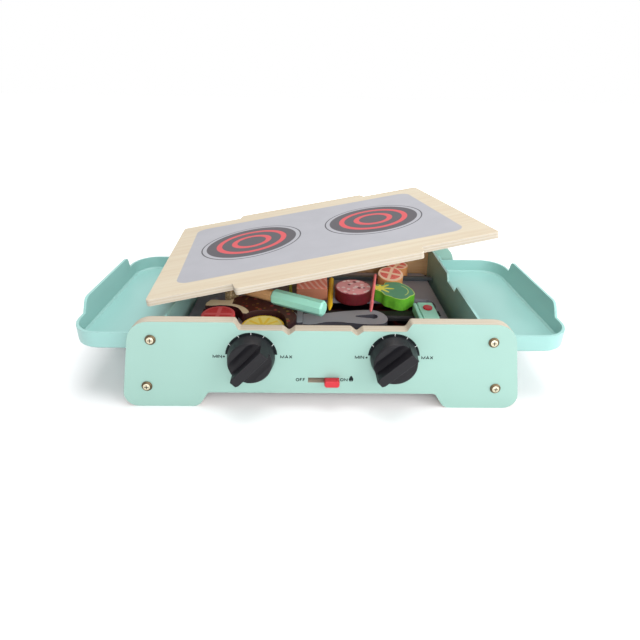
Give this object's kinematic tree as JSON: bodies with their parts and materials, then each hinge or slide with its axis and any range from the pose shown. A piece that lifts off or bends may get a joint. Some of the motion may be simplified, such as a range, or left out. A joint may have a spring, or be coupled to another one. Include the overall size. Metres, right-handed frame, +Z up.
{
  "type": "toy barbecue grill",
  "caption": "Toy tabletop barbecue grill: plywood panels, side trays, slotted grate with play food and tools, turning knobs, sliding switch and lift-off stove-top lid.",
  "frame": {"origin": "on the ground, in the middle of the footprint's bounding box, lid included", "axes": "+X to the right seen from the front, +Y from the front panel to the rear panel, +Z up"},
  "size_m": [0.462, 0.3268, 0.1508],
  "materials": {
    "ply_mint": "plywood, face painted satin mint, edges bare",
    "ply_bare": "bare birch plywood, sanded",
    "mint_wood": "satin mint paint",
    "mint_plastic": "moulded, satin",
    "black_wood": "matt black paint",
    "dark_wood": "dark grey paint",
    "grey_wood": "satin grey paint",
    "black_plastic": "moulded, fine grain",
    "red_plastic": "gloss red",
    "ember_red": "translucent red",
    "steel": "plated",
    "brass": "dull",
    "steak_brown": "painted",
    "tomato_red": "painted",
    "lemon_yellow": "painted",
    "salmon_pink": "painted",
    "salami_red": "painted",
    "pepper_green": "painted",
    "peach_pink": "painted",
    "stick_yellow": "painted",
    "stick_pink": "painted",
    "stick_green": "painted",
    "bristle_tan": "felt-like bristles"
  },
  "bodies": {
    "grill": {"front_panel": "ply_mint", "rear_panel": "ply_mint", "front_upper_left_cup_washer": "brass", "front_upper_left_screw": "steel", "rear_upper_left_cup_washer": "brass", "rear_upper_left_screw": "steel", "front_upper_right_cup_washer": "brass", "front_upper_right_screw": "steel", "rear_upper_right_cup_washer": "brass", "rear_upper_right_screw": "steel", "front_lower_left_cup_washer": "brass", "front_lower_left_screw": "steel", "rear_lower_left_cup_washer": "brass", "rear_lower_left_screw": "steel", "front_lower_right_cup_washer": "brass", "front_lower_right_screw": "steel", "rear_lower_right_cup_washer": "brass", "rear_lower_right_screw": "steel", "right_side_tray": "mint_plastic", "left_side_tray": "mint_plastic", "base_board": "black_wood", "ember_window": "ember_red", "battery_box": "black_plastic", "battery_cover": "black_plastic", "front_grate_rail": "dark_wood", "rear_grate_rail": "dark_wood", "grill_grate": "grey_wood", "grate_cross_bar": "dark_wood", "steak": "steak_brown", "tomato_slice": "tomato_red", "lemon_slice": "lemon_yellow", "salmon_block": "salmon_pink", "salami_slice": "salami_red", "green_pepper_slice": "pepper_green", "front_peach_slice": "peach_pink", "rear_peach_slice": "peach_pink", "yellow_skewer": "stick_yellow", "pink_skewer": "stick_pink", "green_skewer": "stick_green", "spatula_handle": "grey_wood", "spatula_ferrule": "grey_wood", "spatula_blade": "grey_wood", "brush_grip": "mint_wood", "brush_neck": "ply_bare", "brush_bristles": "bristle_tan", "tongs_wide_arm": "mint_wood", "tongs_narrow_arm": "mint_wood", "tongs_pivot": "red_plastic"},
    "left_knob_unit": {"left_knob": "black_plastic", "left_knob_axle": "steel", "left_knob_washer": "steel", "left_knob_nut": "brass"},
    "right_knob_unit": {"right_knob": "black_plastic", "right_knob_axle": "steel", "right_knob_washer": "steel", "right_knob_nut": "brass"},
    "switch_unit": {"switch_slider": "red_plastic", "switch_keeper": "dark_wood", "switch_screw": "steel"},
    "lid": {"stove_top_lid": "ply_bare"}
  },
  "joints": [
    {"name": "left_knob_turn", "type": "hinge", "parent": "grill", "child": "left_knob_unit", "pos_m": [-0.063, -0.14147, 0.0518], "axis": [0, -1, 0], "continuous": true},
    {"name": "right_knob_turn", "type": "hinge", "parent": "grill", "child": "right_knob_unit", "pos_m": [0.063, -0.14147, 0.0518], "axis": [0, -1, 0], "continuous": true},
    {"name": "switch_slide", "type": "slide", "parent": "grill", "child": "switch_unit", "axis": [1, 0, 0], "range_m": [-0.0146, 0]},
    {"name": "lid_lift", "type": "slide", "parent": "grill", "child": "lid", "axis": [0, 0, 1], "range_m": [0, 0.15]}
  ]
}
